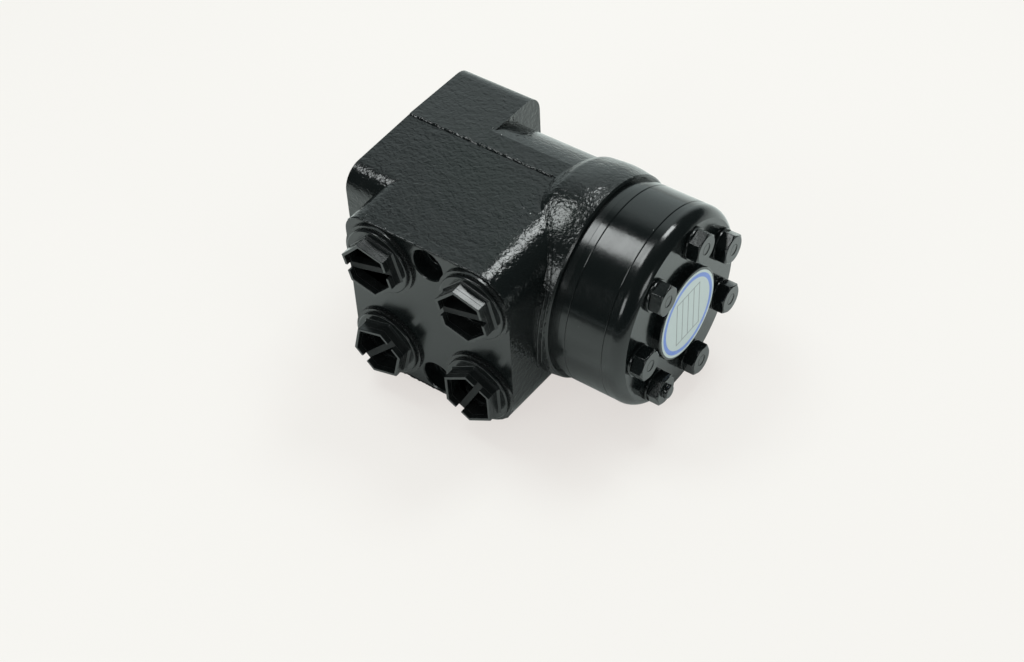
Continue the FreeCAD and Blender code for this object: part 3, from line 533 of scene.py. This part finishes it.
def smooth_route(corners, count):
    """Points spread along a smooth curve through flat corners."""
    curve = bpy.data.curves.new("route", "CURVE")
    curve.dimensions = "3D"
    spline = curve.splines.new("NURBS")
    spline.points.add(len(corners) - 1)
    for point, (u, v) in zip(spline.points, corners):
        point.co = (u, v, 0, 1)
    spline.order_u = 4
    spline.use_endpoint_u = True
    spline.resolution_u = 16
    holder = new_object("route", curve)
    bpy.context.view_layer.update()
    mesh = bpy.data.meshes.new_from_object(holder)
    line = [vertex.co.copy() for vertex in mesh.vertices]
    bpy.data.objects.remove(holder)
    return [line[round(k * (len(line) - 1) / (count - 1))] for k in range(count)]


def on_skin(finder, u, v):
    """Place and outward direction on the skin behind a pixel of the photograph."""
    width, height = PHOTO_SIZE
    spread = SENSOR_WIDTH / LENS / width
    aside = view_right * ((u - width / 2) * spread)
    above = view_up * ((height / 2 - v) * spread)
    ray = aside + above - toward_camera
    hit, normal = finder.ray_cast(camera.location, ray.normalized())[:2]
    if hit is not None and normal.dot(ray) > 0:
        normal = -normal
    return hit, normal


def core_seam(finder, offset):
    """Ridge on the block's rear side, beside the middle line by an offset in pixels."""
    route = smooth_route(CORE_LINE, CORE_POINTS)
    places, outs, heights = [], [], []
    for index, point in enumerate(route):
        along = direction_at(route, index)
        hit, normal = on_skin(finder, point.x - along.y * offset, point.y + along.x * offset)
        if hit is None or (places and (hit - places[-1]).length > CORE_JUMP):
            continue
        places.append(hit)
        outs.append(normal)
        heights.append(CORE_HEIGHT * (1.0 + CORE_WAVE * noise.noise(hit * CORE_WAVE_RATE)))
    return ridge(places, outs, heights, CORE_HALF_WIDTH, CREST_PROFILE)


for seam_name, seam_offset in zip(("core_seam_inner", "core_seam_outer"), CORE_OFFSETS):
    cast_piece(seam_name, *core_seam(housing_skin, seam_offset))


# Port face edge
# Milling the port face pushed a small burr of iron over its upper and lower edges. It was left
# on, and the paint rounds it.

BURR_START = -0.0165
BURR_END = -0.0960
BURR_STEP = 0.0005
BURR_HALF_WIDTH = 0.00060
BURR_HEIGHT = 0.00040
BURR_PROBE = 0.0007
BURR_SEAT = 0.0001
BURR_RATE = 800
BURR_ROWS = (2.3, 1.7)
BURR_LEAST = 0.2
BURR_MEAN = 0.6
BURR_SWING = 1.3
DIAGONAL = 0.707


def port_face_burr(finder, side):
    """Broken ridge along the upper or lower edge of the port face."""
    places, heights = [], []
    for index in range(int((BURR_START - BURR_END) / BURR_STEP)):
        x = BURR_START - index * BURR_STEP
        hit = flat_side(finder, x, PORT_FACE_Y - BURR_PROBE, side)
        if hit is None:
            continue
        places.append(Vector((x, PORT_FACE_Y - BURR_SEAT, hit.z - side * BURR_SEAT)))
        spot = Vector((x * BURR_RATE, side * BURR_ROWS[0], BURR_ROWS[1]))
        share = max(BURR_LEAST, BURR_MEAN + BURR_SWING * noise.noise(spot))
        heights.append(BURR_HEIGHT * share)
    outs = [Vector((0, DIAGONAL, DIAGONAL * side))] * len(places)
    return ridge(places, outs, heights, BURR_HALF_WIDTH, CREST_PROFILE)


for burr_name, burr_side in (("port_face_burr_upper", 1), ("port_face_burr_lower", -1)):
    cast_piece(burr_name, *port_face_burr(housing_skin, burr_side))


# Threads
# Crests of the M10 threads, cut by a tap into the iron of the four column holes and of the two
# clamp holes in the port face.

THREAD_PITCH = 0.0015
THREAD_CREST_R = 0.00066
THREAD_LINE_R = 0.00506
CREST_SIDES = 3
COIL_STEPS = 28
COLUMN_CIRCLE = 0.04125
COLUMN_TURNS = 10.0
COLUMN_THREAD_TOP = -0.0008
CLAMP_PLACES = ((-0.0582, 0.0336), (-0.0582, -0.0336))
CLAMP_TURNS = 5.0
CLAMP_THREAD_TOP = 0.0574
SHAPE = "NodeSocketGeometry"


def finished_mesh(piece):
    """Plain mesh of a piece as its modifier leaves it."""
    bpy.context.view_layer.update()
    seen = piece.evaluated_get(bpy.context.evaluated_depsgraph_get())
    return bpy.data.meshes.new_from_object(seen)


def thread_tree(material):
    """Geometry nodes: a coiled three-sided crest on each point, turned into its hole."""
    inputs = (
        ("Geometry", SHAPE), ("Turns", NUMBER), ("Pitch", NUMBER), ("Radius", NUMBER),
        ("Crest", NUMBER), ("Turn", "NodeSocketRotation"),
    )
    tree, given = new_group("GeometryNodeTree", "thread_crests", inputs, ("Geometry", SHAPE))
    coil = add_node(
        tree, "GeometryNodeCurveSpiral", in_Resolution=COIL_STEPS, in_Rotations=given["Turns"],
        in_Start_Radius=given["Radius"], in_End_Radius=given["Radius"],
        in_Height=math_node(tree, "MULTIPLY", given["Turns"], given["Pitch"]),
    ).outputs[0]
    profile = add_node(
        tree, "GeometryNodeCurvePrimitiveCircle", in_Resolution=CREST_SIDES,
        in_Radius=given["Crest"],
    ).outputs[0]
    crest = add_node(
        tree, "GeometryNodeCurveToMesh", in_Curve=coil, in_Profile_Curve=profile,
        in_Fill_Caps=True,
    ).outputs[0]
    copies = add_node(
        tree, "GeometryNodeInstanceOnPoints", in_Points=given["Geometry"], in_Instance=crest,
        in_Rotation=given["Turn"],
    ).outputs[0]
    whole = add_node(tree, "GeometryNodeRealizeInstances", in_Geometry=copies).outputs[0]
    dressed = add_node(
        tree, "GeometryNodeSetMaterial", in_Geometry=whole, in_Material=material
    ).outputs[0]
    add_node(tree, "NodeGroupOutput", in_Geometry=dressed)
    return tree


def tapped_threads(name, tops, tree, turns, turn):
    """Thread crests in like holes, as one piece of the painted casting."""
    seed_mesh = bpy.data.meshes.new(name)
    seed_mesh.from_pydata(tops, [], [])
    seed_mesh.update()
    piece = new_object(name, seed_mesh)
    modifier = piece.modifiers.new("grow", "NODES")
    modifier.node_group = tree
    values = {
        "Turns": turns, "Pitch": THREAD_PITCH, "Radius": THREAD_LINE_R,
        "Crest": THREAD_CREST_R, "Turn": turn,
    }
    for item in tree.interface.items_tree:
        if item.in_out == "INPUT" and item.name in values:
            modifier[item.identifier] = values[item.name]
    grown = finished_mesh(piece)
    piece.modifiers.remove(modifier)
    piece.data = grown
    grown.materials.clear()
    grown.materials.append(casting)
    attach(piece, "housing_set")


def hole_threads():
    """Thread crests of both sets of holes."""
    tree = thread_tree(casting)
    reach = COLUMN_CIRCLE * math.sqrt(0.5)
    inner_end = COLUMN_THREAD_TOP - COLUMN_TURNS * THREAD_PITCH
    column = [(inner_end, y * reach, z * reach) for y in (1, -1) for z in (1, -1)]
    into_column = (0.0, math.pi / 2, 0.0)
    tapped_threads("column_hole_threads", column, tree, COLUMN_TURNS, into_column)
    inner_end = CLAMP_THREAD_TOP - CLAMP_TURNS * THREAD_PITCH
    clamps = [(x, inner_end, z) for x, z in CLAMP_PLACES]
    into_port_face = (-math.pi / 2, 0.0, 0.0)
    tapped_threads("clamp_hole_threads", clamps, tree, CLAMP_TURNS, into_port_face)


hole_threads()


# Gear set and cover
# Turned steel rings under the same black paint, which keeps a faint orange peel, with dust caught
# on the cover's rounding.

STEEL_PEEL = 0.00003
STEEL_ROUGHNESS = 0.15
STEEL_DUST_CELLS = 420.0
STEEL_DUST_RARITY = 0.95
PEEL_SCALE = 420.0
PEEL_PATCHES = 70.0
PEEL_SMOOTHER = 0.03
PEEL_ROUGHER = 0.05


def painted_metal(name, roughness, peel, dust_rarity):
    """Gloss black paint over machined metal."""
    material, tree, shader, place = new_material(name)
    bump = bumped(tree, noise_on(tree, place, PEEL_SCALE, 2.0), peel)
    patches = noise_on(tree, place, PEEL_PATCHES, 3.0)
    limits = (roughness - PEEL_SMOOTHER, roughness + PEEL_ROUGHER)
    gloss = soft_step(tree, patches, *PATCH_RANGE, *limits)
    colour = dusty_paint(tree, place, STEEL_DUST_CELLS, dust_rarity)
    finish_surface(tree, shader, colour, gloss, bump)
    return material


ring_paint = painted_metal("painted_steel", STEEL_ROUGHNESS, STEEL_PEEL, STEEL_DUST_RARITY)
for ring_node in ("distribution_plate", "gear_rim", "end_cover"):
    paint_node(ring_node, ring_paint)


# Screws and washers
# Hexagon screws of forged steel with plain washers, painted in place, so the paint lies thick
# and rounds the small steps.

SCREW_ROUGHNESS = 0.17
SCREW_PEEL = 0.00004
SCREW_DUST_RARITY = 0.96
SCREW_EDGES = (("cover_screws", 0.00025), ("special_screw", 0.00025), ("cover_washers", 0.0002))
EDGE_ANGLE = math.radians(32)
FLAT_ANGLE = math.radians(0.5)
MERGE_REACH = 0.000002


def copy_of(node, name, body):
    """New piece with the mesh of a CAD node, which it stands for."""
    piece = new_object(name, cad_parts[node].data.copy())
    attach(piece, body)
    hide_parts(node)
    return piece


def soften_edges(piece, width):
    """Rounds the sharp edges of a piece, as thick paint or a mould's radius does."""
    shape = bmesh.new()
    shape.from_mesh(piece.data)
    bmesh.ops.remove_doubles(shape, verts=shape.verts, dist=MERGE_REACH)
    bmesh.ops.dissolve_limit(
        shape, angle_limit=FLAT_ANGLE, verts=shape.verts, edges=shape.edges
    )
    shape.to_mesh(piece.data)
    shape.free()
    bevel = piece.modifiers.new("soften", "BEVEL")
    bevel.width = width
    bevel.segments = 2
    bevel.limit_method = "ANGLE"
    bevel.angle_limit = EDGE_ANGLE
    bevel.use_clamp_overlap = False
    bevel.harden_normals = True
    rounded = finished_mesh(piece)
    piece.modifiers.remove(bevel)
    piece.data = rounded


screw_paint = painted_metal("painted_screws", SCREW_ROUGHNESS, SCREW_PEEL, SCREW_DUST_RARITY)
for screw_node, edge_width in SCREW_EDGES:
    paint_node(screw_node, screw_paint)
    screw = copy_of(screw_node, "painted_" + screw_node, "housing_set")
    soften_edges(screw, edge_width)


# Label
# A round plastic film glued to the cover's boss, pale grey with a plain blue ring and blank
# ruled fields under a thin clear gloss.

LABEL_FILM = (0.44, 0.50, 0.49, 1)
LABEL_BLUE = (0.10, 0.19, 0.56, 1)
LABEL_GREY = (0.20, 0.22, 0.22, 1)
LABEL_GLOSS = (0.32, 0.42)
RING_RADII = (0.0172, 0.0192)
RING_WEAR = (0.35, 0.75, 1.0, 0.82)
FIELD_HALF = (0.0088, 0.0118)
FIELD_LINE = 0.0003
ROW_PITCH = 0.0022
FIBRE_SCALE = 900.0
CREASE_SCALE = 120.0
CREASE_DEPTH = 0.0001
CREASE_BUMP = 0.5


def band(tree, value, low, high):
    """One where a value lies between two limits."""
    above = math_node(tree, "GREATER_THAN", value, low)
    under = math_node(tree, "LESS_THAN", value, high)
    return math_node(tree, "MULTIPLY", above, under)


def field_lines(tree, across, along):
    """Mask of a ruled rectangle: its outline and the rows inside it."""
    width, length = FIELD_HALF
    across_size = math_node(tree, "ABSOLUTE", across)
    along_size = math_node(tree, "ABSOLUTE", along)
    in_width = math_node(tree, "LESS_THAN", across_size, width + FIELD_LINE)
    in_length = math_node(tree, "LESS_THAN", along_size, length + FIELD_LINE)
    inside = math_node(tree, "MULTIPLY", in_width, in_length)
    sides = band(tree, across_size, width - FIELD_LINE, width + FIELD_LINE)
    ends = band(tree, along_size, length - FIELD_LINE, length + FIELD_LINE)
    row = math_node(tree, "PINGPONG", across, ROW_PITCH)
    rows = math_node(tree, "LESS_THAN", row, FIELD_LINE)
    outline = math_node(tree, "MAXIMUM", sides, ends)
    return math_node(tree, "MULTIPLY", math_node(tree, "MAXIMUM", outline, rows), inside)


def ring_mask(tree, across, along):
    """One between the two radii of the ring."""
    across_square = math_node(tree, "MULTIPLY", across, across)
    along_square = math_node(tree, "MULTIPLY", along, along)
    radius = math_node(tree, "SQRT", math_node(tree, "ADD", across_square, along_square))
    return band(tree, radius, *RING_RADII)


def label_film():
    """Printed film with a thin clear gloss."""
    material, tree, shader, place = new_material("label")
    across, along = parts_of(tree, place)[1:3]
    fibres = noise_on(tree, place, FIBRE_SCALE, 3.0)
    worn = soft_step(tree, fibres, *RING_WEAR)
    blue = math_node(tree, "MULTIPLY", ring_mask(tree, across, along), worn)
    printed = mixed_colour(tree, field_lines(tree, across, along), LABEL_FILM, LABEL_GREY)
    colour = mixed_colour(tree, blue, printed, LABEL_BLUE)
    gloss = soft_step(tree, fibres, *PATCH_RANGE, *LABEL_GLOSS)
    creases = noise_on(tree, place, CREASE_SCALE, 2.0)
    bump = bumped(tree, creases, CREASE_DEPTH, CREASE_BUMP)
    finish_surface(tree, shader, colour, gloss, bump)
    return material


paint_node("label", label_film())


# Plugs
# Transport plugs of black moulded polyethylene, screwed into the ports by hand. The plastic has
# a fine grain, is slightly hazy, and is dull on top of its web.

PLASTIC_BLACK = (0.0050, 0.0062, 0.0062, 1)
PLASTIC_HAZE = (0.0085, 0.0100, 0.0100, 1)
PLASTIC_GLOSS = (0.17, 0.25)
HAZE_RANGE = (0.35, 0.7)
PLASTIC_GRAIN = 2600.0
PLASTIC_SINKS = 140.0
SINKS_SHARE = 0.7
PLASTIC_DEPTH = 0.00002
PLUG_EDGE = 0.00022
WEB_TOP_Y = 0.0714
WEB_TOP_REACH = 0.0001
WEB_ROUGHNESS = 0.85
PLUG_NODES = ("plug_front_upper", "plug_rear_upper", "plug_front_lower", "plug_rear_lower")


def web_top(tree, place):
    """One on the flat top of a plug's web."""
    above = math_node(tree, "SUBTRACT", parts_of(tree, place)[1], WEB_TOP_Y)
    return math_node(tree, "LESS_THAN", math_node(tree, "ABSOLUTE", above), WEB_TOP_REACH)


def moulded_plastic():
    """Black moulded plastic with a fine grain, duller and paler in soft patches."""
    material, tree, shader, place = new_material("plug_plastic")
    grain = noise_on(tree, place, PLASTIC_GRAIN, 2.0)
    sinks = noise_on(tree, place, PLASTIC_SINKS, 2.0)
    height = math_node(tree, "MULTIPLY_ADD", sinks, SINKS_SHARE, grain)
    haze = soft_step(tree, sinks, *HAZE_RANGE)
    colour = mixed_colour(tree, haze, PLASTIC_BLACK, PLASTIC_HAZE)
    gloss = soft_step(tree, sinks, *PATCH_RANGE, *PLASTIC_GLOSS)
    dull = math_node(tree, "MULTIPLY", web_top(tree, place), WEB_ROUGHNESS)
    gloss = math_node(tree, "MAXIMUM", gloss, dull)
    finish_surface(tree, shader, colour, gloss, bumped(tree, height, PLASTIC_DEPTH))
    return material


plug_plastic = moulded_plastic()
for plug_node in PLUG_NODES:
    paint_node(plug_node, plug_plastic)
    plug = copy_of(plug_node, "moulded_" + plug_node, "housing_set")
    soften_edges(plug, PLUG_EDGE)


# Seals
# Black rubber for the rings, glossy where the paint reached it, and grey filled plastic for the
# shaft's slide ring. They lie in their grooves.

RUBBER_COLOURS = ((0.004, 0.005, 0.005, 1), (0.010, 0.011, 0.011, 1))
RUBBER_ROUGHNESS = 0.24
SLIDE_RING_COLOURS = ((0.07, 0.07, 0.07, 1), (0.12, 0.12, 0.12, 1))
SLIDE_RING_ROUGHNESS = 0.45
SEAL_GRAIN = 1500.0
SEAL_DEPTH = 0.00002
SEAL_BUMP = 0.6
SEAL_PATCH = 0.06
RUBBER_NODES = (
    "plug_seals", "dust_seal", "shaft_o_ring", "rim_o_ring", "plate_o_ring", "cover_o_ring",
)


def seal_material(name, colours, roughness):
    """Dull seal material with a fine grain, its colour between two."""
    material, tree, shader, place = new_material(name)
    grain = noise_on(tree, place, SEAL_GRAIN, 3.0)
    colour = mixed_colour(tree, grain, *colours)
    gloss = soft_step(tree, grain, *PATCH_RANGE, roughness - SEAL_PATCH, roughness + SEAL_PATCH)
    finish_surface(tree, shader, colour, gloss, bumped(tree, grain, SEAL_DEPTH, SEAL_BUMP))
    return material


seal_rubber = seal_material("seal_rubber", RUBBER_COLOURS, RUBBER_ROUGHNESS)
for seal_node in RUBBER_NODES:
    paint_node(seal_node, seal_rubber)
slide_plastic = seal_material("seal_plastic", SLIDE_RING_COLOURS, SLIDE_RING_ROUGHNESS)
paint_node("shaft_seal_ring", slide_plastic)


# Inner metal parts
# Ground and hardened steel for everything that runs in the bore, a brass needle cage, and blued
# leaf springs.

STEEL_COLOURS = ((0.50, 0.50, 0.51, 1), (0.62, 0.62, 0.63, 1))
STEEL_STREAKS = (5200.0, 260.0, 260.0)
STEEL_NODES = (
    "thrust_outer_race", "thrust_inner_race", "thrust_needles", "check_bushing", "stop_pin",
    "sleeve", "cross_pin", "spool", "spacer", "rotor", "cardan_shaft", "check_ball",
)
BRASS_COLOURS = ((0.60, 0.45, 0.20, 1), (0.72, 0.56, 0.27, 1))
BRASS_STREAKS = (900.0, 900.0, 900.0)
SPRING_COLOURS = ((0.10, 0.13, 0.22, 1), (0.22, 0.20, 0.24, 1))
SPRING_STREAKS = (400.0, 2600.0, 400.0)
GROUND_ROUGHNESS = 0.28
BRASS_ROUGHNESS = 0.32
SPRING_ROUGHNESS = 0.30
METAL_BLOTCHES = 160.0
STREAK_DEPTH = 0.000008
STREAK_BUMP = 0.5
STREAK_SMOOTHER = 0.08
STREAK_ROUGHER = 0.10


def worked_metal(name, colours, roughness, streaks):
    """Metal with fine machining streaks, its colour between two in soft blotches."""
    material, tree, shader, place = new_material(name)
    stretched = add_node(
        tree, "ShaderNodeVectorMath", operation="MULTIPLY", in_0=place, in_1=streaks
    ).outputs[0]
    lines = noise_on(tree, stretched, 1.0, 4.0)
    colour = mixed_colour(tree, noise_on(tree, place, METAL_BLOTCHES, 3.0), *colours)
    limits = (roughness - STREAK_SMOOTHER, roughness + STREAK_ROUGHER)
    gloss = soft_step(tree, lines, *PATCH_RANGE, *limits)
    shader.inputs["Metallic"].default_value = 1.0
    bump = bumped(tree, lines, STREAK_DEPTH, STREAK_BUMP)
    finish_surface(tree, shader, colour, gloss, bump)
    return material


ground_steel = worked_metal("ground_steel", STEEL_COLOURS, GROUND_ROUGHNESS, STEEL_STREAKS)
for steel_node in STEEL_NODES:
    paint_node(steel_node, ground_steel)
cage_brass = worked_metal("cage_brass", BRASS_COLOURS, BRASS_ROUGHNESS, BRASS_STREAKS)
paint_node("needle_cage", cage_brass)
spring_steel = worked_metal("spring_steel", SPRING_COLOURS, SPRING_ROUGHNESS, SPRING_STREAKS)
for spring_node in ("spring_ring", "flat_springs", "arched_springs"):
    paint_node(spring_node, spring_steel)


# Cross pin and arched springs
# The pin's ends are crowned to pass round the bore. The arched springs, which give way as the
# spool turns inside the sleeve, get a mesh of their own.

PIN_CROWN_R = 0.01885

crowned_pin = copy_of("cross_pin", "crowned_cross_pin", "sleeve_set")
for vertex in crowned_pin.data.vertices:
    reach = math.hypot(vertex.co.y, vertex.co.z)
    if reach > PIN_CROWN_R:
        vertex.co.y *= PIN_CROWN_R / reach
        vertex.co.z *= PIN_CROWN_R / reach
leaf_springs = copy_of("arched_springs", "arched_leaf_springs", "sleeve_set")
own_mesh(leaf_springs)
